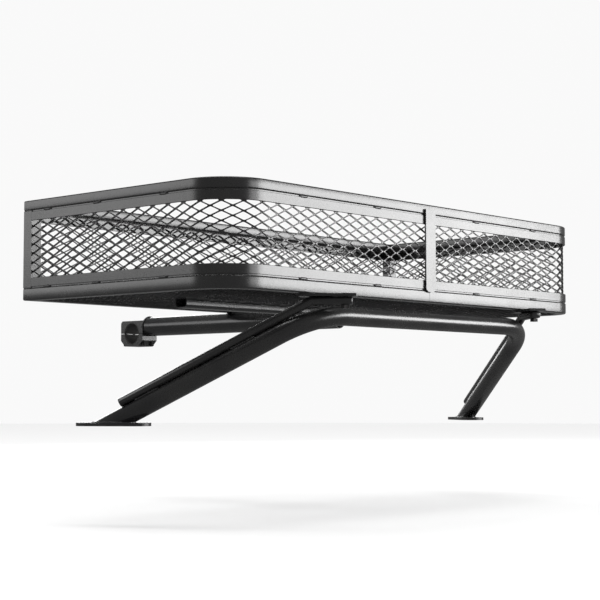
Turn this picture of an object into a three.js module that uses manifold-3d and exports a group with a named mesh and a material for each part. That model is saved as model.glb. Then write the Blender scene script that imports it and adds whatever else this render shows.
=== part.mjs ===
// A cargo basket of expanded metal on a tubular subframe, carried behind the roof of a small vehicle.
// Millimetres. +Z is up, +Y is the vehicle's forward direction, +X is its right-hand side.
// The origin is the middle of the cargo floor's top face.

import * as THREE from 'three';
import { mergeVertices } from 'three/addons/utils/BufferGeometryUtils.js';
import Module from 'manifold-3d';

const wasm = await Module();
wasm.setup();

// Basket: a rounded rectangle in plan, with two bent rear corners and two square front ones.
const basketWidth = 914;
const basketDepth = 445;
const basketHeight = 156;
const cornerRadius = 75;
const floorThickness = 2;
const bottomRailSize = 19;
const topRailSize = 16;
const railWall = 1.6;
const stripThickness = 3;
const stripHeight = 14;
const stripGap = 2;
const wallThickness = 2;
const postSize = 19;
const seamGap = 0.3;
const mitreGap = 0.25;
const strapWidth = 25;
const strapThickness = 3;
const strapBelowTop = 8;
const strapBelowGap = 5;

// Subframe: a bent rear hoop, a cross bar under the floor, two leg stays and one central front arm.
const tubeWall = 2;
const hoopRadius = 14.5;
const hoopCornerX = 271;
const hoopDrop = 30;
const hoopBendRadius = 110;
const legDirection = new THREE.Vector3(0.502, 0.729, -0.462).normalize();
const footDrop = 187;
const footLength = 112;
const footWidth = 44;
const footThickness = 5;
const footHoleSpacing = 92;
const armRadius = 17.45;
const armBehindBar = 6;
const crossBarLength = 692;
const crossBarWidth = 25.4;
const crossBarHeight = 15.9;
const crossBarY = -16;
const crossBarWall = 1.6;
const clampY = 461;
const clampLength = 60;
const clampWidth = 36;
const clampWall = 3.5;
const clampDrop = 6;
const clampTopChamfer = 4;
const clampChamfer = 11;
const clampBoltX = 10;
const cageTubeRadius = 19.05;
const linerThickness = 1;
const stayRadius = 7;
const stayStart = 318;
const stayEndHeight = 12;
const stayEnd = -52;
const lugThickness = 4;
const lugWidth = 28;
const lugStart = -58;
const lugEnd = 26;
const lugBoltAlong = -41;

// Fasteners.
const bracketBoltRadius = 4;
const clampBoltRadius = 2.5;
const clampBoltHeadRadius = 3.9;

const clearance = 0.3;
const tubeSides = 16;
const bendSteps = 6;

// Levels and stations that follow from the sizes above.
const baseZ = -floorThickness - clearance;
const topZ = baseZ + basketHeight;
const rearY = -basketDepth / 2;
const frontY = basketDepth / 2;
const lowerStripZ = baseZ + bottomRailSize + stripGap;
const upperStripZ = topZ - topRailSize - stripGap - stripHeight;
const hoopZ = baseZ - hoopDrop;
const crossBarTop = baseZ;
const armZ = baseZ - clearance - armRadius;
const footTop = baseZ - footDrop;

const blackSteel = new THREE.MeshStandardMaterial({ color: 0x17181a, roughness: 0.42, metalness: 0.35 });
const blackOxide = new THREE.MeshStandardMaterial({ color: 0x1d1d1f, roughness: 0.4, metalness: 0.8 });
const blackRubber = new THREE.MeshStandardMaterial({ color: 0x101010, roughness: 0.85, metalness: 0 });

const rack = new THREE.Group();

function toSolid(geometry) {
  const bare = geometry.index ? geometry.toNonIndexed() : geometry.clone();
  bare.deleteAttribute('normal');
  bare.deleteAttribute('uv');
  const merged = mergeVertices(bare, 1e-4);
  const mesh = new wasm.Mesh({
    numProp: 3,
    vertProperties: new Float32Array(merged.attributes.position.array),
    triVerts: new Uint32Array(merged.index.array),
  });
  return new wasm.Manifold(mesh);
}

function toGeometry(solid) {
  const mesh = solid.getMesh();
  const geometry = new THREE.BufferGeometry();
  geometry.setAttribute('position', new THREE.BufferAttribute(mesh.vertProperties, 3));
  geometry.setIndex(new THREE.BufferAttribute(mesh.triVerts, 1));
  geometry.computeVertexNormals();
  return geometry;
}

function cut(geometry, ...tools) {
  let solid = toSolid(geometry);
  for (const tool of tools) {
    solid = solid.subtract(toSolid(tool));
  }
  return toGeometry(solid);
}

function join(geometry, ...others) {
  let solid = toSolid(geometry);
  for (const other of others) {
    solid = solid.add(toSolid(other));
  }
  return toGeometry(solid);
}

function add(name, geometry, material, x = 0, y = 0, z = 0) {
  const mesh = new THREE.Mesh(geometry, material);
  mesh.name = name;
  mesh.position.set(x, y, z);
  rack.add(mesh);
  return mesh;
}

function sideName(side) {
  return side < 0 ? 'left' : 'right';
}

function box(sizeX, sizeY, sizeZ, x, y, z) {
  return new THREE.BoxGeometry(sizeX, sizeY, sizeZ).translate(x, y, z);
}

function uprightCylinder(radius, bottom, top, sides, x = 0, y = 0) {
  const cylinder = new THREE.CylinderGeometry(radius, radius, top - bottom, sides);
  return cylinder.rotateX(Math.PI / 2).translate(x, y, (top + bottom) / 2);
}

function extrudeUp(shape, bottom, top) {
  const options = { depth: top - bottom, bevelEnabled: false, curveSegments: 12 };
  return new THREE.ExtrudeGeometry(shape, options).translate(0, 0, bottom);
}

// Half of the basket's wall in plan, from the rear centre seam round one bent corner to the front.
// outer and inner are insets from the basket's outside, and frontAt gives the front end for an inset.
function halfWallShape(side, outer, inner, seam, frontAt) {
  const shape = new THREE.Shape();
  const arcX = side * (basketWidth / 2 - cornerRadius);
  const arcY = rearY + cornerRadius;
  const sideAngle = side < 0 ? -Math.PI : 0;
  const clockwise = side < 0;
  shape.moveTo(side * seam, rearY + outer);
  shape.lineTo(arcX, rearY + outer);
  shape.absarc(arcX, arcY, cornerRadius - outer, -Math.PI / 2, sideAngle, clockwise);
  shape.lineTo(side * (basketWidth / 2 - outer), frontAt(outer));
  shape.lineTo(side * (basketWidth / 2 - inner), frontAt(inner));
  shape.lineTo(side * (basketWidth / 2 - inner), arcY);
  shape.absarc(arcX, arcY, cornerRadius - inner, sideAngle, -Math.PI / 2, !clockwise);
  shape.lineTo(side * seam, rearY + inner);
  shape.closePath();
  return shape;
}

// A mitred front bar in plan, between two insets from the basket's outside.
function frontBarShape(outer, inner, gap) {
  const outerX = basketWidth / 2 - outer - gap;
  const innerX = basketWidth / 2 - inner - gap;
  const shape = new THREE.Shape();
  shape.moveTo(-outerX, frontY - outer);
  shape.lineTo(outerX, frontY - outer);
  shape.lineTo(innerX, frontY - inner);
  shape.lineTo(-innerX, frontY - inner);
  shape.closePath();
  return shape;
}

// A bolt hangs from the underside of its head, which is above or below a round shank.
function bolt(radius, shankLength, headHeight, headRadius, headSides, headBelow) {
  const direction = headBelow ? 1 : -1;
  const shankEnd = direction * shankLength;
  const headEnd = -direction * headHeight;
  const shankLow = Math.min(shankEnd, headEnd / 2);
  const shankHigh = Math.max(shankEnd, headEnd / 2);
  const shank = uprightCylinder(radius, shankLow, shankHigh, 12);
  const head = uprightCylinder(headRadius, Math.min(0, headEnd), Math.max(0, headEnd), headSides);
  return join(head, shank);
}

// Rails: square tube, bent round the rear corners, with a seam at the rear centre.
function railHalf(side, size, bottom) {
  const reach = 5;
  const outside = halfWallShape(side, 0, size, seamGap, (inset) => frontY - inset - mitreGap);
  const pastEnd = (inset) => frontY - inset + reach;
  const inside = halfWallShape(side, railWall, size - railWall, -reach, pastEnd);
  const core = extrudeUp(inside, bottom + railWall, bottom + size - railWall);
  return cut(extrudeUp(outside, bottom, bottom + size), core);
}

function frontRail(size, bottom) {
  const reach = 5;
  const inside = frontBarShape(railWall, size - railWall, -reach);
  const core = extrudeUp(inside, bottom + railWall, bottom + size - railWall);
  return cut(extrudeUp(frontBarShape(0, size, mitreGap), bottom, bottom + size), core);
}

function addRails() {
  for (const side of [-1, 1]) {
    add(`${sideName(side)}_bottom_rail`, railHalf(side, bottomRailSize, baseZ), blackSteel);
    add(`${sideName(side)}_top_rail`, railHalf(side, topRailSize, topZ - topRailSize), blackSteel);
  }
  add('front_bottom_rail', frontRail(bottomRailSize, baseZ), blackSteel);
  add('front_top_rail', frontRail(topRailSize, topZ - topRailSize), blackSteel);
}

// Flat strips and expanded-metal walls stop against the front posts.
function addWalls() {
  const atPost = () => frontY - postSize - clearance;
  const meshOuter = stripThickness + clearance;
  const meshInner = meshOuter + wallThickness;
  const frontLength = basketWidth - 2 * (postSize + clearance);
  const wallBottom = lowerStripZ;
  const wallTop = upperStripZ + stripHeight;
  for (const side of [-1, 1]) {
    const strip = halfWallShape(side, 0, stripThickness, seamGap, atPost);
    const wall = halfWallShape(side, meshOuter, meshInner, seamGap, atPost);
    const name = sideName(side);
    add(`${name}_lower_strip`, extrudeUp(strip, lowerStripZ, lowerStripZ + stripHeight), blackSteel);
    add(`${name}_upper_strip`, extrudeUp(strip, upperStripZ, upperStripZ + stripHeight), blackSteel);
    add(`${name}_wall_mesh`, extrudeUp(wall, wallBottom, wallTop), blackSteel);
  }
  const stripY = frontY - stripThickness / 2;
  const meshY = frontY - meshOuter - wallThickness / 2;
  const frontStrip = new THREE.BoxGeometry(frontLength, stripThickness, stripHeight);
  const frontMesh = new THREE.BoxGeometry(frontLength, wallThickness, wallTop - wallBottom);
  add('front_lower_strip', frontStrip, blackSteel, 0, stripY, lowerStripZ + stripHeight / 2);
  add('front_upper_strip', frontStrip.clone(), blackSteel, 0, stripY, upperStripZ + stripHeight / 2);
  add('front_wall_mesh', frontMesh, blackSteel, 0, meshY, (wallBottom + wallTop) / 2);
}

function addPosts() {
  const bottom = baseZ + bottomRailSize + clearance;
  const top = topZ - topRailSize - clearance;
  const inner = postSize - 2 * railWall;
  for (const side of [-1, 1]) {
    const x = side * (basketWidth - postSize) / 2;
    const y = frontY - postSize / 2;
    const outside = box(postSize, postSize, top - bottom, x, y, (top + bottom) / 2);
    const bore = box(inner, inner, basketHeight, x, y, (top + bottom) / 2);
    add(`${sideName(side)}_front_post`, cut(outside, bore), blackSteel);
  }
}

function addRearStrap() {
  const top = topZ - strapBelowTop;
  const bottom = lowerStripZ - strapBelowGap;
  const half = strapWidth / 2;
  const shape = new THREE.Shape();
  shape.moveTo(-half, top);
  shape.lineTo(-half, bottom + half / 2);
  shape.absellipse(0, bottom + half / 2, half, half / 2, Math.PI, 2 * Math.PI, false);
  shape.lineTo(half, top);
  shape.closePath();
  const options = { depth: strapThickness, bevelEnabled: false, curveSegments: 10 };
  const strap = new THREE.ExtrudeGeometry(shape, options);
  strap.rotateX(Math.PI / 2).translate(0, rearY - clearance, 0);
  add('rear_strap', strap, blackSteel);
}

function addFloor() {
  const inset = bottomRailSize + clearance;
  const halfWidth = basketWidth / 2 - inset;
  const radius = cornerRadius - inset;
  const arcX = basketWidth / 2 - cornerRadius;
  const arcY = rearY + cornerRadius;
  const shape = new THREE.Shape();
  shape.moveTo(-arcX, rearY + inset);
  shape.lineTo(arcX, rearY + inset);
  shape.absarc(arcX, arcY, radius, -Math.PI / 2, 0, false);
  shape.lineTo(halfWidth, frontY - inset);
  shape.lineTo(-halfWidth, frontY - inset);
  shape.lineTo(-halfWidth, arcY);
  shape.absarc(-arcX, arcY, radius, Math.PI, 1.5 * Math.PI, false);
  shape.closePath();
  add('floor_mesh', extrudeUp(shape, -floorThickness, 0), blackSteel);
}

// The bar under the floor is an open-ended rectangular tube, welded to the expanded metal.
function addCrossBar() {
  const z = crossBarTop - crossBarHeight / 2;
  const outside = box(crossBarLength, crossBarWidth, crossBarHeight, 0, crossBarY, z);
  const innerWidth = crossBarWidth - 2 * crossBarWall;
  const innerHeight = crossBarHeight - 2 * crossBarWall;
  const bore = box(crossBarLength + 10, innerWidth, innerHeight, 0, crossBarY, z);
  add('floor_cross_bar', cut(outside, bore), blackSteel);
}

// A polyline with round bends, sampled at its own stations so that straight runs need no extra steps.
class BentPath extends THREE.Curve {
  constructor(corners, bendRadius, steps) {
    super();
    this.stations = [];
    this.directions = [];
    const last = corners.length - 1;
    this.addStation(corners[0], corners[1].clone().sub(corners[0]).normalize());
    for (let i = 1; i < last; i += 1) {
      const before = corners[i].clone().sub(corners[i - 1]).normalize();
      const after = corners[i + 1].clone().sub(corners[i]).normalize();
      const turn = before.angleTo(after);
      const start = corners[i].clone().addScaledVector(before, -bendRadius * Math.tan(turn / 2));
      const inward = after.clone().addScaledVector(before, -after.dot(before)).normalize();
      const centre = start.clone().addScaledVector(inward, bendRadius);
      for (let k = 0; k <= steps; k += 1) {
        const angle = (turn * k) / steps;
        const point = centre.clone().addScaledVector(before, bendRadius * Math.sin(angle));
        point.addScaledVector(inward, -bendRadius * Math.cos(angle));
        const direction = before.clone().multiplyScalar(Math.cos(angle));
        this.addStation(point, direction.addScaledVector(inward, Math.sin(angle)));
      }
    }
    this.addStation(corners[last], corners[last].clone().sub(corners[last - 1]).normalize());
    this.steps = this.stations.length - 1;
  }

  addStation(point, direction) {
    this.stations.push(point.clone());
    this.directions.push(direction.clone());
  }

  getUtoTmapping(u) {
    return u;
  }

  getPoint(t) {
    return this.stations[Math.round(t * this.steps)].clone();
  }

  getTangent(t) {
    return this.directions[Math.round(t * this.steps)].clone();
  }
}

function roundSection(radius) {
  const section = new THREE.Shape();
  for (let i = 0; i < tubeSides; i += 1) {
    const angle = (2 * Math.PI * (i + 0.5)) / tubeSides;
    const x = radius * Math.cos(angle);
    const y = radius * Math.sin(angle);
    if (i === 0) {
      section.moveTo(x, y);
    } else {
      section.lineTo(x, y);
    }
  }
  section.closePath();
  return section;
}

function sweep(radius, path) {
  return new THREE.ExtrudeGeometry(roundSection(radius), { steps: path.steps, extrudePath: path });
}

// Points of the hoop's virtual corners, and of a leg at a distance from its corner.
function hoopCorner(side) {
  return new THREE.Vector3(side * hoopCornerX, rearY, hoopZ);
}

function legPoint(side, distance) {
  const direction = new THREE.Vector3(side * legDirection.x, legDirection.y, legDirection.z);
  return hoopCorner(side).addScaledVector(direction, distance);
}

function hoopPath(extra) {
  const legLength = (hoopZ - footTop) / -legDirection.z + extra;
  const corners = [legPoint(-1, legLength), hoopCorner(-1), hoopCorner(1), legPoint(1, legLength)];
  return new BentPath(corners, hoopBendRadius, bendSteps);
}

function addHoop() {
  const floorOfFeet = box(2000, 2000, 400, 0, 0, footTop + clearance - 200);
  const outside = sweep(hoopRadius, hoopPath(60));
  const bore = sweep(hoopRadius - tubeWall, hoopPath(80));
  add('rear_hoop', cut(outside, bore, floorOfFeet), blackSteel);
}

// A point straight above a leg's own vertical plane: along is measured in plan from the hoop corner.
function lugPoint(side, along) {
  const plan = new THREE.Vector2(legDirection.x, legDirection.y).normalize();
  return new THREE.Vector2(side * (hoopCornerX + plan.x * along), rearY + plan.y * along);
}

// Puts a shape drawn as (along the leg in plan, height) into the leg's vertical plane.
function inLegPlane(side, shape, width) {
  const plan = new THREE.Vector3(side * legDirection.x, legDirection.y, 0).normalize();
  const up = new THREE.Vector3(0, 0, 1);
  const across = new THREE.Vector3().crossVectors(plan, up);
  const origin = hoopCorner(side);
  const place = new THREE.Matrix4().makeBasis(plan, up, across);
  place.setPosition(origin.x, origin.y, 0);
  const options = { depth: width, bevelEnabled: false };
  return new THREE.ExtrudeGeometry(shape, options).translate(0, 0, -width / 2).applyMatrix4(place);
}

// A round stay that lies along the top of a leg. Its upper end is level, under the basket's rear
// rail, with a flat above for the lug and one below for the bolt's head.
function legStay(side) {
  const run = Math.hypot(legDirection.x, legDirection.y);
  const slope = -legDirection.z;
  const endZ = baseZ - lugThickness - 2 * clearance - stayEndHeight / 2;
  const offset = hoopRadius + clearance + stayRadius;
  const startAlong = run * stayStart + slope * offset;
  const startZ = hoopZ - slope * stayStart + run * offset;
  const bendAlong = startAlong - ((endZ - startZ) * run) / slope;
  const bottom = lugPoint(side, startAlong);
  const bend = lugPoint(side, bendAlong);
  const end = lugPoint(side, stayEnd);
  const path = new BentPath([
    new THREE.Vector3(bottom.x, bottom.y, startZ),
    new THREE.Vector3(bend.x, bend.y, endZ),
    new THREE.Vector3(end.x, end.y, endZ),
  ], 2.5 * stayRadius, 4);
  const above = box(2 * basketWidth, 2 * basketWidth, 100, 0, 0, endZ + stayEndHeight / 2 + 50);
  const seatTop = endZ - stayEndHeight / 2;
  const seat = new THREE.Shape();
  seat.moveTo(stayEnd - 5, seatTop);
  seat.lineTo(stayEnd - 5, seatTop - 10);
  seat.lineTo(lugBoltAlong + 12, seatTop - 10);
  seat.lineTo(lugBoltAlong + 12, seatTop);
  seat.closePath();
  return cut(sweep(stayRadius, path), above, inLegPlane(side, seat, 4 * stayRadius));
}

function addLegStays() {
  const lugTop = baseZ - clearance;
  const lugBottom = lugTop - lugThickness;
  const endBottom = lugBottom - clearance - stayEndHeight;
  const hoopAllowance = sweep(hoopRadius + clearance / 2, hoopPath(0));
  const holeRadius = bracketBoltRadius + clearance;
  for (const side of [-1, 1]) {
    const name = sideName(side);
    const place = lugPoint(side, lugBoltAlong);
    const hole = uprightCylinder(holeRadius, endBottom - 5, lugTop + 5, 12, place.x, place.y);
    add(`${name}_leg_stay`, cut(legStay(side), hole, hoopAllowance), blackSteel);
    const lugShape = new THREE.Shape();
    lugShape.moveTo(lugStart, lugBottom);
    lugShape.lineTo(lugEnd, lugBottom);
    lugShape.lineTo(lugEnd, lugTop);
    lugShape.lineTo(lugStart, lugTop);
    lugShape.closePath();
    add(`${name}_rail_lug`, cut(inLegPlane(side, lugShape, lugWidth), hole), blackSteel);
    const shankLength = lugTop - endBottom + clearance + 1;
    const screw = bolt(bracketBoltRadius, shankLength, 5, 7, 6, true);
    add(`${name}_stay_bolt`, screw, blackOxide, place.x, place.y, endBottom - clearance);
  }
}

// The front arm: a round tube under the floor, notched over the cross bar, that ends at the clamp.
function addFrontArm() {
  const start = crossBarY - crossBarWidth / 2 - armBehindBar;
  const end = clampY - clampLength / 2 - clearance;
  const boreRadius = armRadius - tubeWall;
  const outside = new THREE.CylinderGeometry(armRadius, armRadius, end - start, 28);
  const bore = new THREE.CylinderGeometry(boreRadius, boreRadius, end - start + 20, 28);
  for (const cylinder of [outside, bore]) {
    cylinder.rotateY(Math.PI / 28).translate(0, (start + end) / 2, armZ);
  }
  const notchWidth = crossBarWidth + 2 * clearance;
  const notchBottom = crossBarTop - crossBarHeight - clearance;
  const notch = box(3 * armRadius, notchWidth, 100, 0, crossBarY, notchBottom + 50);
  add('front_arm', cut(outside, bore, notch), blackSteel);
}

// A split clamp for the vehicle's cross tube: a fixed upper half, a lower cap, a liner and four bolts.
function clampBlock(points) {
  const shape = new THREE.Shape(points.map(([y, z]) => new THREE.Vector2(y, z)));
  const block = new THREE.ExtrudeGeometry(shape, { depth: clampWidth, bevelEnabled: false });
  block.rotateX(Math.PI / 2).rotateZ(Math.PI / 2);
  return block.translate(-clampWidth / 2, clampY, 0);
}

function acrossCylinder(radius, z, length) {
  const cylinder = new THREE.CylinderGeometry(radius, radius, length, 32);
  return cylinder.rotateZ(Math.PI / 2).translate(0, clampY, z);
}

function addClamp() {
  const boreRadius = cageTubeRadius + linerThickness + clearance;
  const top = armZ + armRadius - clampDrop;
  const boreZ = top - clampWall - boreRadius;
  const bottom = boreZ - boreRadius - clampWall;
  const half = clampLength / 2;
  const split = 0.4;
  const boltY = (boreRadius + half) / 2;
  const headHeight = 5;
  const headSeat = bottom + headHeight + 1;
  const bore = acrossCylinder(boreRadius, boreZ, clampWidth + 10);
  const upperPoints = [
    [-half, boreZ + split],
    [half, boreZ + split],
    [half, top - clampTopChamfer],
    [half - clampTopChamfer, top],
    [-half, top],
  ];
  const lowerPoints = [
    [-half, boreZ - split],
    [-half, bottom + clampChamfer],
    [-half + clampChamfer, bottom],
    [half - clampChamfer, bottom],
    [half, bottom + clampChamfer],
    [half, boreZ - split],
  ];
  const threads = [];
  const passages = [];
  for (const side of [-1, 1]) {
    for (const end of [-1, 1]) {
      const x = side * clampBoltX;
      const y = clampY + end * boltY;
      threads.push(uprightCylinder(clampBoltRadius + clearance, boreZ - 5, top - clampWall, 12, x, y));
      passages.push(uprightCylinder(clampBoltRadius + clearance, bottom - 5, boreZ + 5, 12, x, y));
      passages.push(uprightCylinder(clampBoltHeadRadius + clearance, bottom - 5, headSeat, 16, x, y));
      const shankLength = top - clampWall - headSeat - 2;
      const screw = bolt(clampBoltRadius, shankLength, headHeight, clampBoltHeadRadius, 16, true);
      const endName = end < 0 ? 'rear' : 'front';
      add(`${sideName(side)}_${endName}_clamp_bolt`, screw, blackOxide, x, y, headSeat - clearance);
    }
  }
  add('clamp_upper', cut(clampBlock(upperPoints), bore, ...threads), blackSteel);
  add('clamp_lower', cut(clampBlock(lowerPoints), bore, ...passages), blackSteel);
  const liner = cut(
    acrossCylinder(boreRadius - clearance, boreZ, clampWidth),
    acrossCylinder(cageTubeRadius, boreZ, clampWidth + 10),
    box(clampWidth + 10, boreRadius, 2, 0, clampY + boreRadius, boreZ),
  );
  add('clamp_liner', liner, blackRubber);
}

// Foot plates under the ends of the legs, turned to the legs' direction in plan.
function addFeet() {
  const run = Math.hypot(legDirection.x, legDirection.y);
  const along = ((hoopZ - footTop) / -legDirection.z) * run;
  for (const side of [-1, 1]) {
    const shape = new THREE.Shape();
    const end = footLength / 2 - footWidth / 2;
    shape.moveTo(-end, -footWidth / 2);
    shape.lineTo(end, -footWidth / 2);
    shape.absarc(end, 0, footWidth / 2, -Math.PI / 2, Math.PI / 2, false);
    shape.lineTo(-end, footWidth / 2);
    shape.absarc(-end, 0, footWidth / 2, Math.PI / 2, 1.5 * Math.PI, false);
    shape.closePath();
    for (const hole of [-footHoleSpacing / 2, footHoleSpacing / 2]) {
      const path = new THREE.Path();
      path.absarc(hole, 0, 4.5, 0, 2 * Math.PI, true);
      shape.holes.push(path);
    }
    const foot = extrudeUp(shape, 0, footThickness);
    foot.rotateZ(Math.atan2(legDirection.y, side * legDirection.x));
    const place = lugPoint(side, along);
    add(`${sideName(side)}_foot_plate`, foot, blackSteel, place.x, place.y, footTop - footThickness);
  }
}

addRails();
addWalls();
addPosts();
addRearStrap();
addFloor();
addCrossBar();
addHoop();
addLegStays();
addFrontArm();
addClamp();
addFeet();

export default rack;
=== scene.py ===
# A cargo basket of expanded metal on a tubular subframe, in black powder coat. Metres, +Z up.
# The rails, strips, sheets, hoop, stays and arm are rebuilt here with finer shapes, and the other
# CAD nodes keep their shape and get rounded edges and a material.
import math

import bmesh
import bpy
from mathutils import Matrix, Vector


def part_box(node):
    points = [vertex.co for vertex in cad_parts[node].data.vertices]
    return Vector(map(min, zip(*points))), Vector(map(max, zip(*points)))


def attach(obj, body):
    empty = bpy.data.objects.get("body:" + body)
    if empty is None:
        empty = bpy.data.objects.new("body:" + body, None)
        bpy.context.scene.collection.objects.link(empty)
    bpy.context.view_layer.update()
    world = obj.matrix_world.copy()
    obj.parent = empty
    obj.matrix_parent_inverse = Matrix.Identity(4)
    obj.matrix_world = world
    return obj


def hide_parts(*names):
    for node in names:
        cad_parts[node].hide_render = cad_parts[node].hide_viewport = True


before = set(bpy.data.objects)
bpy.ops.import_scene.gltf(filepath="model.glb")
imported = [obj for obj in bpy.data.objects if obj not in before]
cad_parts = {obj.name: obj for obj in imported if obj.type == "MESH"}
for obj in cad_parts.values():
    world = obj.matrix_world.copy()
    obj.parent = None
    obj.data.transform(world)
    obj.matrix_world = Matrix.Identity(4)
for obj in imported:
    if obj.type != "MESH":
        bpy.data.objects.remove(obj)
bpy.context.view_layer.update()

MM = 0.001
WIDTH = 914 * MM
DEPTH = 445 * MM
HEIGHT = 156 * MM
CORNER = 75 * MM
FLOOR_THICKNESS = 2 * MM
CLEARANCE = 0.3 * MM
BASE_Z = -FLOOR_THICKNESS - CLEARANCE
TOP_Z = BASE_Z + HEIGHT
REAR_Y = -DEPTH / 2
FRONT_Y = DEPTH / 2
BOTTOM_RAIL = 19 * MM
TOP_RAIL = 16 * MM
STRIP_HEIGHT = 14 * MM
STRIP_THICKNESS = 3 * MM
STRIP_GAP = 2 * MM
POST = 19 * MM
SEAM = 0.3 * MM
LOWER_STRIP_Z = BASE_Z + BOTTOM_RAIL + STRIP_GAP
UPPER_STRIP_Z = TOP_Z - TOP_RAIL - STRIP_GAP - STRIP_HEIGHT

HOOP_RADIUS = 14.5 * MM
HOOP_CORNER_X = 271 * MM
HOOP_Z = BASE_Z - 30 * MM
HOOP_BEND = 110 * MM
FOOT_TOP = BASE_Z - 187 * MM
LEG = Vector((0.502, 0.729, -0.462)).normalized()
LEG_RUN = math.hypot(LEG.x, LEG.y)
LEG_SLOPE = -LEG.z
LUG_THICKNESS = 4 * MM
STAY_RADIUS = 7 * MM
STAY_START = 318 * MM
STAY_END_HEIGHT = 12 * MM
STAY_END = -52 * MM

ARM_RADIUS = 17.45 * MM
ARM_Z = BASE_Z - CLEARANCE - ARM_RADIUS

# Expanded metal: the diamond's long and short way, its strand and how far a strand leans.
DIAMOND_LONG = 31.8 * MM
DIAMOND_SHORT = 14.2 * MM
STRAND = 2.1 * MM
SHEET_THICKNESS = 1.5 * MM
STRAND_LEAN = 0.7 * MM
# Its hole has blunt tips, a short flat at the top and bottom, and shoulders part of the way out.
TIP_CUT = 1.3 * MM
APEX = 0.9 * MM
SHOULDER = 0.52
MESH_SMOOTH = 20

SIDES = (("left", -1), ("right", 1))


# ---------------------------------------------------------------- materials


def material(name):
    made = bpy.data.materials.new(name)
    made.use_nodes = True
    nodes = made.node_tree.nodes
    return made, nodes, made.node_tree.links, nodes["Principled BSDF"]


def noise(nodes, links, coordinates, scale, detail=2.0):
    texture = nodes.new("ShaderNodeTexNoise")
    texture.inputs["Scale"].default_value = scale
    texture.inputs["Detail"].default_value = detail
    links.new(coordinates.outputs["Object"], texture.inputs["Vector"])
    return texture


def ramp(nodes, links, source, low, high, low_at=0.3, high_at=0.7):
    mapped = nodes.new("ShaderNodeMapRange")
    mapped.inputs["From Min"].default_value = low_at
    mapped.inputs["From Max"].default_value = high_at
    mapped.inputs["To Min"].default_value = low
    mapped.inputs["To Max"].default_value = high
    links.new(source, mapped.inputs["Value"])
    return mapped.outputs["Result"]


def bump(nodes, links, shader, height, strength, distance):
    node = nodes.new("ShaderNodeBump")
    node.inputs["Strength"].default_value = strength
    node.inputs["Distance"].default_value = distance
    links.new(height, node.inputs["Height"])
    links.new(node.outputs["Normal"], shader.inputs["Normal"])


def powder_coat():
    """Gloss black powder coat: orange peel, with a tone and gloss that drift slowly."""
    made, nodes, links, shader = material("black_powder_coat")
    place = nodes.new("ShaderNodeTexCoord")
    peel = noise(nodes, links, place, 650.0, 1.0)
    cloud = noise(nodes, links, place, 14.0, 4.0)
    grain = noise(nodes, links, place, 260.0, 3.0)
    tone = nodes.new("ShaderNodeMix")
    tone.data_type = "RGBA"
    tone.inputs["A"].default_value = (0.0060, 0.0060, 0.0066, 1)
    tone.inputs["B"].default_value = (0.0120, 0.0117, 0.0114, 1)
    links.new(ramp(nodes, links, cloud.outputs["Fac"], 0.0, 1.0), tone.inputs["Factor"])
    links.new(tone.outputs["Result"], shader.inputs["Base Color"])
    gloss = nodes.new("ShaderNodeMath")
    gloss.operation = "ADD"
    links.new(ramp(nodes, links, cloud.outputs["Fac"], 0.21, 0.26), gloss.inputs[0])
    links.new(ramp(nodes, links, grain.outputs["Fac"], 0.0, 0.04), gloss.inputs[1])
    links.new(gloss.outputs["Value"], shader.inputs["Roughness"])
    shader.inputs["Specular IOR Level"].default_value = 0.6
    bump(nodes, links, shader, peel.outputs["Fac"], 0.3, 0.00010)
    return made


def black_oxide():
    """Oiled black oxide on the bolts, with dull patches."""
    made, nodes, links, shader = material("black_oxide_hardware")
    place = nodes.new("ShaderNodeTexCoord")
    patch = noise(nodes, links, place, 180.0, 5.0)
    fine = noise(nodes, links, place, 2600.0, 2.0)
    tone = nodes.new("ShaderNodeMix")
    tone.data_type = "RGBA"
    tone.inputs["A"].default_value = (0.022, 0.022, 0.024, 1)
    tone.inputs["B"].default_value = (0.060, 0.058, 0.056, 1)
    links.new(ramp(nodes, links, patch.outputs["Fac"], 0.0, 1.0), tone.inputs["Factor"])
    links.new(tone.outputs["Result"], shader.inputs["Base Color"])
    links.new(ramp(nodes, links, patch.outputs["Fac"], 0.28, 0.45), shader.inputs["Roughness"])
    shader.inputs["Metallic"].default_value = 0.85
    bump(nodes, links, shader, fine.outputs["Fac"], 0.15, 0.00005)
    return made


def rubber():
    """Matt black rubber with a fine grain."""
    made, nodes, links, shader = material("liner_rubber")
    place = nodes.new("ShaderNodeTexCoord")
    grain = noise(nodes, links, place, 700.0, 4.0)
    links.new(ramp(nodes, links, grain.outputs["Fac"], 0.62, 0.85), shader.inputs["Roughness"])
    tone = nodes.new("ShaderNodeMix")
    tone.data_type = "RGBA"
    tone.inputs["A"].default_value = (0.012, 0.012, 0.012, 1)
    tone.inputs["B"].default_value = (0.028, 0.027, 0.026, 1)
    links.new(ramp(nodes, links, grain.outputs["Fac"], 0.0, 1.0), tone.inputs["Factor"])
    links.new(tone.outputs["Result"], shader.inputs["Base Color"])
    bump(nodes, links, shader, grain.outputs["Fac"], 0.4, 0.0002)
    return made


COAT = powder_coat()
OXIDE = black_oxide()
RUBBER = rubber()


# ---------------------------------------------------------------- mesh helpers


def new_piece(name, vertices, faces, replaced=(), smooth_angle=35.0):
    """A powder-coated piece of the root body, in place of the CAD nodes it replaces."""
    mesh = bpy.data.meshes.new(name)
    mesh.from_pydata([tuple(v) for v in vertices], [], faces)
    outward = bmesh.new()
    outward.from_mesh(mesh)
    bmesh.ops.recalc_face_normals(outward, faces=outward.faces)
    outward.to_mesh(mesh)
    outward.free()
    for polygon in mesh.polygons:
        polygon.use_smooth = True
    mesh.set_sharp_from_angle(angle=math.radians(smooth_angle))
    piece = bpy.data.objects.new(name, mesh)
    bpy.context.scene.collection.objects.link(piece)
    piece.data.materials.append(COAT)
    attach(piece, "root")
    if replaced:
        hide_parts(*replaced)
    return piece


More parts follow.
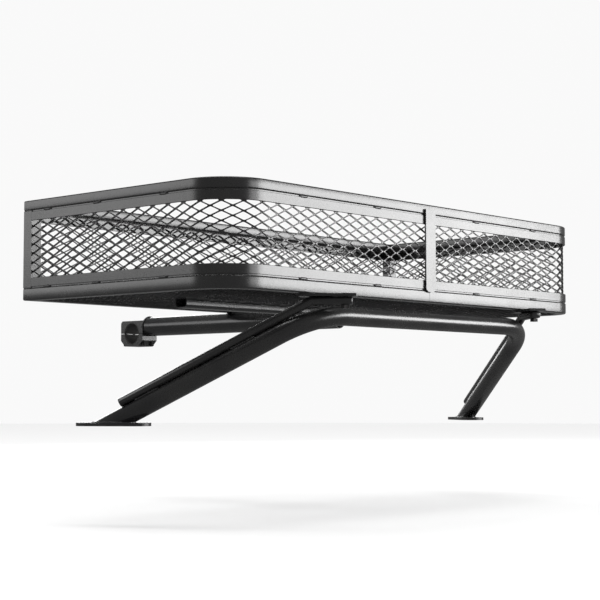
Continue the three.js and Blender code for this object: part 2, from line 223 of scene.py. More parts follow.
def rounded_box_section(width, height, radius, steps=4):
    """A closed rounded rectangle from 0 to width and 0 to height."""
    points = []
    for cx, cy, start in (
        (width - radius, radius, -90),
        (width - radius, height - radius, 0),
        (radius, height - radius, 90),
        (radius, radius, 180),
    ):
        for k in range(steps + 1):
            angle = math.radians(start + 90 * k / steps)
            points.append((cx + radius * math.cos(angle), cy + radius * math.sin(angle)))
    return points


def round_section(radius, sides=40):
    return [
        (radius * math.cos(2 * math.pi * k / sides), radius * math.sin(2 * math.pi * k / sides))
        for k in range(sides)
    ]


def skin(rings, closed=False):
    """Vertices and faces of a tube through the rings, with flat ends unless it closes on itself."""
    vertices = [point for ring in rings for point in ring]
    size = len(rings[0])
    faces = []
    last = len(rings) if closed else len(rings) - 1
    for i in range(last):
        here = i * size
        there = ((i + 1) % len(rings)) * size
        for k in range(size):
            after = (k + 1) % size
            faces.append((here + k, here + after, there + after, there + k))
    if not closed:
        faces.append(tuple(range(size))[::-1])
        faces.append(tuple(range(len(vertices) - size, len(vertices))))
    return vertices, faces


def bent_path(corners, bend, steps=14):
    """Stations (point, direction) of a polyline with round bends."""
    stations = [(corners[0], (corners[1] - corners[0]).normalized())]
    for before, here, after in zip(corners, corners[1:], corners[2:]):
        into = (here - before).normalized()
        away = (after - here).normalized()
        turn = into.angle(away)
        start = here - into * bend * math.tan(turn / 2)
        inward = (away - into * away.dot(into)).normalized()
        for k in range(steps + 1):
            angle = turn * k / steps
            point = start + into * bend * math.sin(angle) + inward * bend * (1 - math.cos(angle))
            stations.append((point, into * math.cos(angle) + inward * math.sin(angle)))
    stations.append((corners[-1], (corners[-1] - corners[-2]).normalized()))
    return stations


def tube_rings(stations, sections, first_side):
    """Rings along a path. The side direction is carried along it without twist."""
    rings = []
    side = first_side
    for (point, direction), section in zip(stations, sections):
        side = (side - direction * side.dot(direction)).normalized()
        up = direction.cross(side)
        rings.append([point + side * x + up * y for x, y in section])
    return rings


def join_meshes(parts):
    vertices = []
    faces = []
    for part_vertices, part_faces in parts:
        shift = len(vertices)
        vertices.extend(part_vertices)
        faces.extend([tuple(i + shift for i in face) for face in part_faces])
    return vertices, faces


def bead(points, radius, closed=False, pitch=3.2 * MM, flat=0.75, outward=None):
    """A rippled weld bead along points, tapered at open ends."""
    lengths = [0.0]
    for a, b in zip(points, points[1:]):
        lengths.append(lengths[-1] + (b - a).length)
    loop = list(points) + [points[0]] if closed else list(points)
    if closed:
        lengths.append(lengths[-1] + (points[0] - points[-1]).length)
    total = lengths[-1]
    rings_per_ripple = 4
    ripple = 0.10
    count = max(8, int(total / (pitch / rings_per_ripple)))
    sides = 10
    rings = []
    stop = count if closed else count + 1
    for i in range(stop):
        at = total * i / count
        k = 0
        while k < len(lengths) - 2 and lengths[k + 1] < at:
            k += 1
        share = (at - lengths[k]) / max(1e-9, lengths[k + 1] - lengths[k])
        centre = loop[k].lerp(loop[k + 1], share)
        if closed:
            previous, following = loop[k - 1 if k else -2], loop[k + 1]
        else:
            previous, following = loop[max(0, k - 1)], loop[min(len(loop) - 1, k + 1)]
        direction = (following - previous).normalized()
        size = radius * (1 + ripple * math.sin(2 * math.pi * at / pitch))
        if not closed:
            edge = min(at, total - at) / (radius * 1.2)
            size *= math.sqrt(max(0.03, min(1.0, edge)))
        out = outward if outward is not None else Vector((0, 0, 1))
        out = (out - direction * out.dot(direction)).normalized()
        across = direction.cross(out)
        ring = []
        for s in range(sides):
            angle = 2 * math.pi * s / sides
            ring.append(centre + across * size * math.cos(angle) + out * size * flat * math.sin(angle))
        rings.append(ring)
    return skin(rings, closed)


# ---------------------------------------------------------------- basket rails and strips


def half_plan(side, inset, front, steps=18):
    """Points and outward normals round one half of the basket in plan, from the rear seam forward."""
    arc_x = WIDTH / 2 - CORNER
    arc_y = REAR_Y + CORNER
    plan = [(Vector((side * SEAM, REAR_Y + inset, 0)), Vector((0, -1, 0)))]
    for k in range(steps + 1):
        angle = -math.pi / 2 + math.pi / 2 * k / steps
        normal = Vector((side * math.cos(angle), math.sin(angle), 0))
        centre = Vector((side * arc_x, arc_y, 0))
        plan.append((centre + normal * (CORNER - inset), normal))
    plan.append((Vector((side * (WIDTH / 2 - inset), front, 0)), Vector((side, 0, 0))))
    return plan


def wrap(side, section, bottom, front, mitre=False):
    """Sweeps a section (depth inward, height) along one half of the basket."""
    rings = []
    plan = half_plan(side, 0.0, front)
    for index, (point, normal) in enumerate(plan):
        ring = []
        for depth, height in section:
            place = point - normal * depth + Vector((0, 0, bottom + height))
            if mitre and index == len(plan) - 1:
                place.y = front - depth
            ring.append(place)
        rings.append(ring)
    return skin(rings)


def front_bar(section, bottom, front, half, mitre):
    """Sweeps a section (depth inward, height) along the front, from -half to half."""
    rings = []
    for end in (-1, 1):
        ring = []
        for depth, height in section:
            x = end * (half - depth if mitre else half)
            ring.append(Vector((x, front - depth, bottom + height)))
        rings.append(ring)
    return skin(rings)


MITRE = 0.25 * MM
RAIL_EDGE_RADIUS = 2.2 * MM
for rail, size, bottom in (("bottom", BOTTOM_RAIL, BASE_Z), ("top", TOP_RAIL, TOP_Z - TOP_RAIL)):
    section = rounded_box_section(size, size, RAIL_EDGE_RADIUS)
    for name, side in SIDES:
        shape = wrap(side, section, bottom, FRONT_Y - MITRE, mitre=True)
        new_piece(f"{name}_{rail}_rail_tube", *shape, replaced=(f"{name}_{rail}_rail",))
    shape = front_bar(section, bottom, FRONT_Y, WIDTH / 2 - MITRE, True)
    new_piece(f"front_{rail}_rail_tube", *shape, replaced=(f"front_{rail}_rail",))

LIP_SET_BACK = 1.3 * MM


def strip_section_with_lip(lip_above):
    """A flat strip whose back half reaches across the gap to the rail, as a shallow groove."""
    edge = 0.5 * MM
    top = STRIP_HEIGHT + STRIP_GAP - 0.1 * MM
    section = [
        (edge, 0),
        (STRIP_THICKNESS - edge, 0),
        (STRIP_THICKNESS, edge),
        (STRIP_THICKNESS, top),
        (LIP_SET_BACK, top),
        (LIP_SET_BACK, STRIP_HEIGHT),
        (edge, STRIP_HEIGHT),
        (0, STRIP_HEIGHT - edge),
        (0, edge),
    ]
    if lip_above:
        return section
    return [(depth, STRIP_HEIGHT - height) for depth, height in reversed(section)]


for strip, bottom in (("lower", LOWER_STRIP_Z), ("upper", UPPER_STRIP_Z)):
    strip_section = strip_section_with_lip(strip == "upper")
    for name, side in SIDES:
        shape = wrap(side, strip_section, bottom, FRONT_Y - POST - CLEARANCE)
        new_piece(f"{name}_{strip}_flat_strip", *shape, replaced=(f"{name}_{strip}_strip",))
    shape = front_bar(strip_section, bottom, FRONT_Y, WIDTH / 2 - POST - CLEARANCE, False)
    new_piece(f"front_{strip}_flat_strip", *shape, replaced=(f"front_{strip}_strip",))


# ---------------------------------------------------------------- expanded metal


def clip(polygon, edges):
    """Keeps the part of a flat polygon of (u, v, n) points on the inner side of each edge."""
    for (px, py), (nx, ny) in edges:
        kept = []
        for i, here in enumerate(polygon):
            there = polygon[(i + 1) % len(polygon)]
            a = (here[0] - px) * nx + (here[1] - py) * ny
            b = (there[0] - px) * nx + (there[1] - py) * ny
            if a >= 0:
                kept.append(here)
            if (a > 0 > b) or (a < 0 < b):
                t = a / (a - b)
                kept.append(tuple(h + (o - h) * t for h, o in zip(here, there)))
        polygon = kept
        if len(polygon) < 3:
            return []
    return polygon


def expanded_sheet(low_u, high_u, low_v, high_v, edges, place, thickness=SHEET_THICKNESS):
    """A sheet of diamond mesh inside the edges. place turns (u, v, height off the sheet) into 3-D."""
    a = DIAMOND_LONG / 2
    b = DIAMOND_SHORT / 2
    slope = math.atan2(b, a)
    hole_a = a - STRAND / 2 / math.sin(slope)
    hole_b = b - STRAND / 2 / math.cos(slope)
    tip = hole_a - TIP_CUT
    tip_v = hole_b * (1 - tip / hole_a)
    apex_v = hole_b * 0.97
    shoulder_u = hole_a * SHOULDER
    shoulder_v = hole_b * SHOULDER
    hole = [
        (-tip, -tip_v),
        (-tip, tip_v),
        (-shoulder_u, shoulder_v),
        (-APEX, apex_v),
        (APEX, apex_v),
        (shoulder_u, shoulder_v),
        (tip, tip_v),
        (tip, -tip_v),
        (shoulder_u, -shoulder_v),
        (APEX, -apex_v),
        (-APEX, -apex_v),
        (-shoulder_u, -shoulder_v),
    ]
    half_u, half_v = a / 2, b / 2
    rim = [
        (-a, 0, 0), (-half_u, half_v, 0), (0, b, 0), (half_u, half_v, 0),
        (a, 0, 0), (half_u, -half_v, 0), (0, -b, 0), (-half_u, -half_v, 0),
    ]
    ring = [(u, v, -STRAND_LEAN * v / hole_b) for u, v in hole]
    cell = [
        (rim[0], ring[1], ring[0]),
        (rim[0], rim[1], ring[2], ring[1]),
        (rim[1], rim[2], ring[3], ring[2]),
        (rim[2], ring[4], ring[3]),
        (rim[2], rim[3], ring[5], ring[4]),
        (rim[3], rim[4], ring[6], ring[5]),
        (rim[4], ring[7], ring[6]),
        (rim[4], rim[5], ring[8], ring[7]),
        (rim[5], rim[6], ring[9], ring[8]),
        (rim[6], ring[10], ring[9]),
        (rim[6], rim[7], ring[11], ring[10]),
        (rim[7], rim[0], ring[0], ring[11]),
    ]
    index = {}
    points = []

    def number(point):
        key = tuple(round(c * 1e6) for c in point[:2])
        if key not in index:
            index[key] = len(points)
            points.append(point)
        return index[key]

    top = []
    rows = range(int(math.floor(low_v / b)) - 2, int(math.ceil(high_v / b)) + 3)
    columns = range(int(math.floor(low_u / a)) - 2, int(math.ceil(high_u / a)) + 3)
    for row in rows:
        for column in columns:
            if (row + column) % 2:
                continue
            for corner_set in cell:
                moved = [(u + column * a, v + row * b, n) for u, v, n in corner_set]
                kept = clip(moved, edges)
                if not kept:
                    continue
                numbers = []
                for point in kept:
                    at = number(point)
                    if at not in numbers:
                        numbers.append(at)
                if len(numbers) > 2:
                    top.append(numbers)
    count = len(points)
    used = {}
    for face in top:
        for i, here in enumerate(face):
            there = face[(i + 1) % len(face)]
            used[(here, there)] = used.get((here, there), 0) + 1
    faces = [tuple(face) for face in top]
    faces += [tuple(count + i for i in reversed(face)) for face in top]
    for here, there in used:
        if (there, here) not in used:
            faces.append((there, here, here + count, there + count))
    vertices = [place(u, v, n + thickness / 2) for u, v, n in points]
    vertices += [place(u, v, n - thickness / 2) for u, v, n in points]
    return vertices, faces


def rectangle_edges(low_u, high_u, low_v, high_v):
    return [
        ((low_u, low_v), (1, 0)),
        ((high_u, high_v), (-1, 0)),
        ((low_u, low_v), (0, 1)),
        ((high_u, high_v), (0, -1)),
    ]


WALL_SET_BACK = 0.4 * MM
WALL_MARGIN = 0.5 * MM
WALL_INSET = STRIP_THICKNESS + CLEARANCE + FLOOR_THICKNESS / 2 + WALL_SET_BACK
WALL_LOW = LOWER_STRIP_Z + WALL_MARGIN
WALL_HIGH = UPPER_STRIP_Z + STRIP_HEIGHT - WALL_MARGIN
WALL_FRONT = FRONT_Y - POST - CLEARANCE
STRAIGHT = WIDTH / 2 - CORNER
BEND_RADIUS = CORNER - WALL_INSET
BEND_LENGTH = BEND_RADIUS * math.pi / 2
WALL_LENGTH = STRAIGHT + BEND_LENGTH + WALL_FRONT - (REAR_Y + CORNER)


def on_wall(side):
    def place(u, v, n):
        if u <= STRAIGHT:
            point, normal = Vector((u, REAR_Y + WALL_INSET, v)), Vector((0, -1, 0))
        elif u <= STRAIGHT + BEND_LENGTH:
            angle = -math.pi / 2 + (u - STRAIGHT) / BEND_RADIUS
            normal = Vector((math.cos(angle), math.sin(angle), 0))
            point = Vector((STRAIGHT, REAR_Y + CORNER, v)) + normal * BEND_RADIUS
        else:
            normal = Vector((1, 0, 0))
            along = REAR_Y + CORNER + u - STRAIGHT - BEND_LENGTH
            point = Vector((WIDTH / 2 - WALL_INSET, along, v))
        point = point + normal * n
        return Vector((side * point.x, point.y, point.z))

    return place


for name, side in SIDES:
    limits = (SEAM, WALL_LENGTH, WALL_LOW, WALL_HIGH)
    shape = expanded_sheet(*limits, rectangle_edges(*limits), on_wall(side))
    replaced = (f"{name}_wall_mesh",)
    new_piece(f"{name}_wall_expanded_metal", *shape, replaced=replaced, smooth_angle=MESH_SMOOTH)

front_half = WIDTH / 2 - POST - CLEARANCE
limits = (-front_half, front_half, WALL_LOW, WALL_HIGH)
shape = expanded_sheet(
    *limits, rectangle_edges(*limits), lambda u, v, n: Vector((u, FRONT_Y - WALL_INSET + n, v))
)
new_piece("front_wall_expanded_metal", *shape, replaced=("front_wall_mesh",), smooth_angle=MESH_SMOOTH)


def floor_edges():
    """The floor's outline: square at the front, round at the two rear corners."""
    inset = BOTTOM_RAIL + CLEARANCE
    half = WIDTH / 2 - inset
    edges = rectangle_edges(-half, half, REAR_Y + inset, FRONT_Y - inset)
    radius = CORNER - inset
    steps = 12
    for side in (-1, 1):
        for k in range(1, steps):
            angle = math.pi / 2 * k / steps
            normal = (side * math.cos(angle), -math.sin(angle))
            centre = (side * STRAIGHT, REAR_Y + CORNER)
            edge = (centre[0] + radius * normal[0], centre[1] + radius * normal[1])
            edges.append((edge, (-normal[0], -normal[1])))
    return edges


shape = expanded_sheet(
    -WIDTH / 2, WIDTH / 2, REAR_Y, FRONT_Y, floor_edges(),
    lambda u, v, n: Vector((u, v, -FLOOR_THICKNESS / 2 + 0.1 * MM + n)),
)
new_piece("floor_expanded_metal", *shape, replaced=("floor_mesh",), smooth_angle=MESH_SMOOTH)


# ---------------------------------------------------------------- hoop, stays and arm


def hoop_corner(side):
    return Vector((side * HOOP_CORNER_X, REAR_Y, HOOP_Z))


def leg_point(side, distance):
    return hoop_corner(side) + Vector((side * LEG.x, LEG.y, LEG.z)) * distance


def beside_leg(side, along, height):
    """A point in the leg's upright plane, along it in plan from the hoop's corner."""
    x = HOOP_CORNER_X + LEG.x / LEG_RUN * along
    y = REAR_Y + LEG.y / LEG_RUN * along
    return Vector((side * x, y, height))


def make_hoop():
    overrun = 60 * MM
    past_foot = (HOOP_Z - FOOT_TOP - CLEARANCE) / LEG_SLOPE + overrun
    corners = [leg_point(-1, past_foot), hoop_corner(-1), hoop_corner(1), leg_point(1, past_foot)]
    stations = bent_path(corners, HOOP_BEND, 20)
    rings = tube_rings(stations, [round_section(HOOP_RADIUS)] * len(stations), Vector((0, 0, 1)))
    # The ends are cut level, just above the foot plates.
    cut = FOOT_TOP + CLEARANCE
    for end, direction in ((0, -stations[0][1]), (-1, stations[-1][1])):
        rings[end] = [p + direction * ((cut - p.z) / direction.z) for p in rings[end]]
    new_piece("rear_hoop_tube", *skin(rings), replaced=("rear_hoop",))


def squashed_section(high, wide, power, sides=36):
    """An oval whose sides grow flatter as power rises above 2."""
    section = []
    for k in range(sides):
        angle = 2 * math.pi * k / sides
        c, s = math.cos(angle), math.sin(angle)
        x = math.copysign(abs(c) ** (2 / power), c) * high
        y = math.copysign(abs(s) ** (2 / power), s) * wide
        section.append((x, y))
    return section


def make_stay(name, side):
    """A round rod that lies on the leg, with a level upper end that is pressed a little flat."""
    end_z = BASE_Z - LUG_THICKNESS - 2 * CLEARANCE - STAY_END_HEIGHT / 2
    offset = HOOP_RADIUS + STAY_RADIUS - 0.2 * MM
    start_along = LEG_RUN * STAY_START + LEG_SLOPE * offset
    start_z = HOOP_Z - LEG_SLOPE * STAY_START + LEG_RUN * offset
    bend_along = start_along - (end_z - start_z) * LEG_RUN / LEG_SLOPE
    corners = [
        beside_leg(side, start_along, start_z),
        beside_leg(side, bend_along, end_z),
        beside_leg(side, STAY_END, end_z),
    ]
    stations = bent_path(corners, 2.5 * STAY_RADIUS, 12)
    # Both ends get a small rounded edge.
    edge = 1.2 * MM
    first, last = stations[0], stations[-1]
    stations.insert(1, (first[0] + first[1] * edge, first[1]))
    stations.insert(-1, (last[0] - last[1] * edge, last[1]))
    flat_start = len(stations) - 3
    level = stations[flat_start][0]
    reach = last[0] - last[1] * edge - level
    extra = [(level + reach * k / 6, last[1]) for k in range(1, 6)]
    stations[flat_start + 1:flat_start + 1] = extra
    sections = []
    for index in range(len(stations)):
        squeeze = min(1.0, max(0.0, (index - flat_start) / 3))
        high = STAY_RADIUS + (STAY_END_HEIGHT / 2 - STAY_RADIUS) * squeeze
        wide = STAY_RADIUS + 0.8 * MM * squeeze
        if index in (0, len(stations) - 1):
            high -= edge
            wide -= edge
        power = 2 + 1.2 * squeeze
        sections.append(squashed_section(high, wide, power))
    rings = tube_rings(stations, sections, Vector((0, 0, 1)))
    new_piece(f"{name}_leg_stay_rod", *skin(rings), replaced=(f"{name}_leg_stay",), smooth_angle=50)


def make_arm():
    """A round tube with a notch cut through its top for the cross bar."""
    low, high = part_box("front_arm")
    start, end = low.y, high.y
    wall = 2 * MM
    outer = round_section(ARM_RADIUS, 48)
    inner = round_section(ARM_RADIUS - wall, 48)
    edge = 0.4 * MM

    def ring(section, y):
        return [Vector((x, y, ARM_Z + z)) for x, z in section]

    shrink = (ARM_RADIUS - edge) / ARM_RADIUS
    softened = [(x * shrink, z * shrink) for x, z in outer]
    rings = [ring(softened, start), ring(outer, start + edge), ring(outer, end)]
    rings += [ring(inner, end), ring(inner, start)]
    vertices, faces = skin(rings, closed=True)
    piece = new_piece("front_arm_tube", vertices, faces, replaced=("front_arm",))
    bar_low, bar_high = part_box("floor_cross_bar")
    notch = bmesh.new()
    bmesh.ops.create_cube(notch, size=1)
    notch_width, notch_height = 80 * MM, 50 * MM
    size = Vector((notch_width, bar_high.y - bar_low.y + 2 * CLEARANCE, notch_height))
    centre = Vector((0, (bar_low.y + bar_high.y) / 2, bar_low.z - CLEARANCE + size.z / 2))
    placed = Matrix.Translation(centre) @ Matrix.Diagonal((*size, 1))
    bmesh.ops.transform(notch, matrix=placed, verts=notch.verts)
    tool_mesh = bpy.data.meshes.new("notch")
    notch.to_mesh(tool_mesh)
    notch.free()
    tool = bpy.data.objects.new("notch", tool_mesh)
    bpy.context.scene.collection.objects.link(tool)
    boolean = piece.modifiers.new("notch", "BOOLEAN")
    boolean.object = tool
    boolean.solver = "EXACT"
    bpy.context.view_layer.update()
    graph = bpy.context.evaluated_depsgraph_get()
    cut = bpy.data.meshes.new_from_object(piece.evaluated_get(graph))
    piece.modifiers.clear()
    piece.data = cut
    bpy.data.objects.remove(tool)


def make_cross_bar():
    """A rectangular tube with well rounded corners and open ends."""
    low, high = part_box("floor_cross_bar")
    wall = 1.6 * MM
    outer_radius = 5 * MM
    inner_radius = 3.4 * MM

    def ring(x, inset, radius):
        width = high.y - low.y - 2 * inset
        height = high.z - low.z - 2 * inset
        section = rounded_box_section(width, height, radius, 6)
        return [Vector((x, low.y + inset + y, low.z + inset + z)) for y, z in section]

    rings = [ring(low.x, 0, outer_radius), ring(high.x, 0, outer_radius)]
    rings += [ring(high.x, wall, inner_radius), ring(low.x, wall, inner_radius)]
    new_piece("floor_cross_bar_tube", *skin(rings, closed=True), replaced=("floor_cross_bar",))


make_hoop()
for name, side in SIDES:
    make_stay(name, side)
make_arm()
make_cross_bar()


# ---------------------------------------------------------------- weld beads


WELD_SMOOTH = 60
STITCH_REACH = 9 * MM
STITCH_RADIUS = 2.5 * MM
STITCH_SINK = 1.0 * MM
GROOVES = (LOWER_STRIP_Z - STRIP_GAP / 2, UPPER_STRIP_Z + STRIP_HEIGHT + STRIP_GAP / 2)


def stitch(middle, along, outward, radius=STITCH_RADIUS):
    """A short straight bead centred on middle."""
    reach = Vector(along) * STITCH_REACH
    return bead([middle - reach, middle, middle + reach], radius, outward=Vector(outward))


def rail_welds(name, side):
    """Short beads between the rails and the strips, about every 150 mm."""
    parts = []
    for level in GROOVES:
        for x in (130, 300):
            middle = Vector((side * x * MM, REAR_Y + STITCH_SINK, level))
            parts.append(stitch(middle, (1, 0, 0), (0, -1, 0)))
        for y in (-95, 50, 165):
            middle = Vector((side * (WIDTH / 2 - STITCH_SINK), y * MM, level))
            parts.append(stitch(middle, (0, 1, 0), (side, 0, 0)))
    new_piece(f"{name}_rail_welds", *join_meshes(parts), smooth_angle=WELD_SMOOTH)


def front_welds():
    parts = []
    for level in GROOVES:
        for x in (-390, -230, -80, 80, 230, 390):
            middle = Vector((x * MM, FRONT_Y - STITCH_SINK, level))
            parts.append(stitch(middle, (1, 0, 0), (0, 1, 0)))
    new_piece("front_rail_welds", *join_meshes(parts), smooth_angle=WELD_SMOOTH)


def post_welds(name, side):
    """Fillets round the tops and feet of the front posts."""
    parts = []
    x0 = side * (WIDTH / 2 - POST)
    x1 = side * WIDTH / 2
    y0, y1 = FRONT_Y - POST, FRONT_Y
    inset = 0.5 * MM
    for z in (BASE_Z + BOTTOM_RAIL, TOP_Z - TOP_RAIL):
        a = Vector((x1 - side * inset, y0 + 1 * MM, z))
        b = Vector((x1 - side * inset, y1 - 1 * MM, z))
        parts.append(bead([a, b], 1.2 * MM, outward=Vector((side, 0, 0))))
        a = Vector((x0 + side * inset, y1 - inset, z))
        b = Vector((x1 - side * 1 * MM, y1 - inset, z))
        parts.append(bead([a, b], 1.2 * MM, outward=Vector((0, 1, 0))))
        a = Vector((x0 + side * 0.2 * MM, y0 + 1 * MM, z))
        b = Vector((x0 + side * 0.2 * MM, y1 - 4 * MM, z))
        parts.append(bead([a, b], 1.4 * MM, outward=Vector((-side, 0, 0))))
    new_piece(f"{name}_post_welds", *join_meshes(parts), smooth_angle=WELD_SMOOTH)


def stay_welds(name, side):
    """Fillets where the stay lies on the leg, at both ends of the run."""
    parts = []
    across = Vector((-side * LEG.y, LEG.x, 0)).normalized()
    normal = Vector((side * LEG.x * LEG_SLOPE / LEG_RUN, LEG.y * LEG_SLOPE / LEG_RUN, LEG_RUN))
    touch = normal * (HOOP_RADIUS - 0.8 * MM)
    for start, end in ((95, 135), (255, 295)):
        stops = (start, (start + end) / 2, end)
        for flank in (-1, 1):
            line = [leg_point(side, d * MM) + touch + across * flank * 5.2 * MM for d in stops]
            parts.append(bead(line, 2.4 * MM, outward=normal))
    new_piece(f"{name}_stay_welds", *join_meshes(parts), smooth_angle=WELD_SMOOTH)


def lug_welds(name, side):
    """Fillets along the lug, on the stretch under the rail only."""
    flank_out = 14.2 * MM
    along = Vector((side * LEG.x, LEG.y, 0)).normalized()
    across = Vector((-along.y, along.x, 0))
    z = BASE_Z - 0.6 * MM
    parts = []
    for flank in (-1, 1):
        a = beside_leg(side, 2 * MM, z) + across * flank * flank_out
        b = beside_leg(side, 20 * MM, z) + across * flank * flank_out
        parts.append(bead([a, a.lerp(b, 0.5), b], 1.7 * MM, outward=across * flank))
    new_piece(f"{name}_lug_welds", *join_meshes(parts), smooth_angle=WELD_SMOOTH)


def circle_points(centre, first, second, radius, count=48, start=0.0, sweep=360.0):
    points = []
    stop = count if sweep >= 360 else count + 1
    for k in range(stop):
        angle = math.radians(start + sweep * k / count)
        points.append(centre + first * radius * math.cos(angle) + second * radius * math.sin(angle))
    return points


def foot_welds(name, side):
    """A fillet round the foot of each leg, where the slanting tube meets its plate."""
    to_foot = (HOOP_Z - FOOT_TOP) / LEG_SLOPE
    centre = leg_point(side, to_foot)
    along = Vector((side * LEG.x, LEG.y, 0)).normalized()
    across = Vector((-along.y, along.x, 0))
    steps = 56
    ring = []
    for k in range(steps):
        angle = 2 * math.pi * k / steps
        lengthwise = along * (HOOP_RADIUS / LEG_SLOPE) * math.cos(angle)
        ring.append(centre + lengthwise + across * HOOP_RADIUS * math.sin(angle))
    shape = bead(ring, 2.3 * MM, closed=True, pitch=3.6 * MM)
    new_piece(f"{name}_foot_weld", *shape, smooth_angle=WELD_SMOOTH)


def arm_welds():
    """A fillet over the arm's clamp end, and two beads where its crown meets the front rail."""
    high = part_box("front_arm")[1]
    across, up = Vector((1, 0, 0)), Vector((0, 0, 1))
    end = Vector((0, high.y + 0.1 * MM, ARM_Z))
    seat = circle_points(end, across, up, ARM_RADIUS, 40, 200, -220)
    parts = [bead(seat, 2.4 * MM, outward=Vector((0, -1, 0)))]
    for y in (FRONT_Y - BOTTOM_RAIL + 1 * MM, FRONT_Y - 1 * MM):
        crown = circle_points(Vector((0, y, ARM_Z)), across, up, ARM_RADIUS, 20, 60, 60)
        parts.append(bead(crown, 1.8 * MM, outward=up))
    new_piece("front_arm_welds", *join_meshes(parts), smooth_angle=WELD_SMOOTH)


def cross_bar_welds():
    """Stitch welds along both edges of the bar, and round its seat on the arm."""
    low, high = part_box("floor_cross_bar")
    seat_half_width = math.sqrt(ARM_RADIUS**2 - (low.z - ARM_Z) ** 2)
    parts = []
    for y, facing in ((low.y, -1), (high.y, 1)):
        for x in (-320, -200, -95, 95, 200, 320):
            middle = Vector((x * MM, y + facing * 0.2 * MM, high.z - 0.8 * MM))
            parts.append(stitch(middle, (1, 0, 0), (0, facing, 0), 2.0 * MM))
        for flank in (-1, 1):
            x = flank * (seat_half_width + 0.4 * MM)
            line = [Vector((x, y + facing * 0.6 * MM, z)) for z in (low.z, low.z + 7 * MM)]
            parts.append(bead(line, 1.6 * MM, outward=Vector((0, facing, 0))))
    new_piece("cross_bar_welds", *join_meshes(parts), smooth_angle=WELD_SMOOTH)


for name, side in SIDES:
    rail_welds(name, side)
    post_welds(name, side)
    stay_welds(name, side)
    lug_welds(name, side)
    foot_welds(name, side)
front_welds()
arm_welds()
cross_bar_welds()


# ---------------------------------------------------------------- carried-over CAD nodes


def dress(node, surface, edge, segments=3):
    """Gives a CAD node its material and, where it has sharp edges, a small round on them."""
    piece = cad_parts[node]
    piece.data.materials.clear()
    piece.data.materials.append(surface)
    bevel = piece.modifiers.new("edges", "BEVEL")
    bevel.width = edge
    bevel.segments = segments
    bevel.limit_method = "ANGLE"
    bevel.angle_limit = math.radians(40)


for node in ("left_front_post", "right_front_post"):
    dress(node, COAT, 1.2 * MM)
dress("rear_strap", COAT, 0.6 * MM)
for node in ("clamp_upper", "clamp_lower"):
    dress(node, COAT, 0.8 * MM)
dress("clamp_liner", RUBBER, 0.2 * MM, 2)
for name, side in SIDES:
    dress(f"{name}_rail_lug", COAT, 0.8 * MM)
    dress(f"{name}_foot_plate", COAT, 0.7 * MM)
    dress(f"{name}_stay_bolt", OXIDE, 0.35 * MM, 2)
    for end in ("rear", "front"):
        dress(f"{name}_{end}_clamp_bolt", OXIDE, 0.3 * MM, 2)


# ---------------------------------------------------------------- studio


def backdrop():
    """A pale floor below the object, with painted shade that darkens it towards the point under the
    object, and unseen in the paint's reflections.
    """
    level = -0.34
    radius = 9.0
    sides = 64
    vertices = [(x, y, level) for x, y in round_section(radius, sides)]
    mesh = bpy.data.meshes.new("studio_floor")
    mesh.from_pydata(vertices, [], [tuple(range(sides))])
    floor = bpy.data.objects.new("studio_floor", mesh)
    bpy.context.scene.collection.objects.link(floor)
    paper, nodes, links, shader = material("studio_paper")
    place = nodes.new("ShaderNodeTexCoord")
    grain = noise(nodes, links, place, 60.0, 3.0)
    links.new(ramp(nodes, links, grain.outputs["Fac"], 0.75, 0.80), shader.inputs["Roughness"])
    reach = nodes.new("ShaderNodeVectorMath")
    reach.operation = "LENGTH"
    links.new(place.outputs["Object"], reach.inputs[0])
    # Painted shade: the floor's colour darkens from 0.97 far out to 0.66 near the point under the
    # object.
    painted_floor_shade = nodes.new("ShaderNodeMapRange")
    painted_floor_shade.interpolation_type = "SMOOTHSTEP"
    painted_floor_shade.inputs["From Min"].default_value = 0.4
    painted_floor_shade.inputs["From Max"].default_value = 2.6
    painted_floor_shade.inputs["To Min"].default_value = 0.66
    painted_floor_shade.inputs["To Max"].default_value = 0.97
    links.new(reach.outputs["Value"], painted_floor_shade.inputs["Value"])
    links.new(painted_floor_shade.outputs["Result"], shader.inputs["Base Color"])
    shader.inputs["Specular IOR Level"].default_value = 0.1
    mesh.materials.append(paper)
    floor.visible_glossy = False


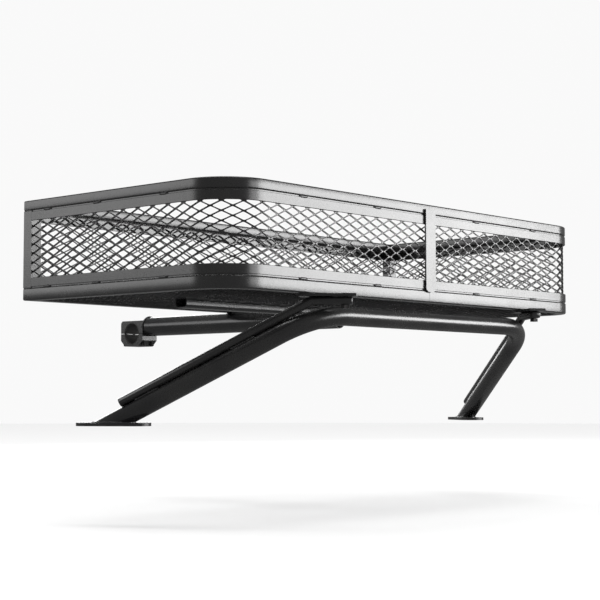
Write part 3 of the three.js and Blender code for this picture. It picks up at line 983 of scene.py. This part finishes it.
def softbox(name, place, aim, width, height, power):
    light = bpy.data.lights.new(name, "AREA")
    light.shape = "RECTANGLE"
    light.size = width
    light.size_y = height
    light.energy = power
    holder = bpy.data.objects.new(name, light)
    holder.location = place
    holder.rotation_mode = "QUATERNION"
    holder.rotation_quaternion = (Vector(aim) - Vector(place)).to_track_quat("-Z", "Y")
    bpy.context.scene.collection.objects.link(holder)


backdrop()
softbox("key_right_rear", (2.3, -2.6, 0.45), (0.1, -0.15, 0.02), 2.6, 1.15, 112)
softbox("key_wing", (0.65, -3.75, 0.45), (-0.2, -0.15, 0.02), 1.3, 1.15, 20)
softbox("overhead", (-0.3, -0.1, 2.6), (0, 0, 0), 2.8, 0.9, 45)
softbox("front_rim", (1.0, 3.2, 0.9), (0, 0.1, 0), 2.8, 1.2, 55)
softbox("fill_left_front", (-2.6, 2.2, 0.80), (-0.2, 0.0, 0.05), 1.9, 1.2, 20)


def studio_world():
    """White to the camera and over the floor, and dim in the reflections of the black paint."""
    world = bpy.data.worlds.new("studio")
    world.use_nodes = True
    nodes = world.node_tree.nodes
    links = world.node_tree.links
    seen = nodes.new("ShaderNodeLightPath")
    strength = nodes.new("ShaderNodeMapRange")
    strength.inputs["To Min"].default_value = 0.95
    strength.inputs["To Max"].default_value = 0.22
    links.new(seen.outputs["Is Glossy Ray"], strength.inputs["Value"])
    nodes["Background"].inputs["Color"].default_value = (1.0, 1.0, 1.0, 1)
    links.new(strength.outputs["Result"], nodes["Background"].inputs["Strength"])
    bpy.context.scene.world = world


studio_world()
bpy.context.scene.view_settings.view_transform = "Standard"


# ---------------------------------------------------------------- camera

CAMERA_PLACE = Vector((-1.905, -1.6505, -0.1543))
CAMERA_AIM = Vector((-0.027, 0.029, 0.0115))
lens = bpy.data.cameras.new("camera")
lens.lens = 90
lens.sensor_width = 36
lens.dof.use_dof = False
lens.clip_start = 0.01
lens.clip_end = 50
camera = bpy.data.objects.new("camera", lens)
camera.location = CAMERA_PLACE
camera.rotation_mode = "QUATERNION"
camera.rotation_quaternion = (CAMERA_AIM - CAMERA_PLACE).to_track_quat("-Z", "Y")
bpy.context.scene.collection.objects.link(camera)
bpy.context.scene.camera = camera
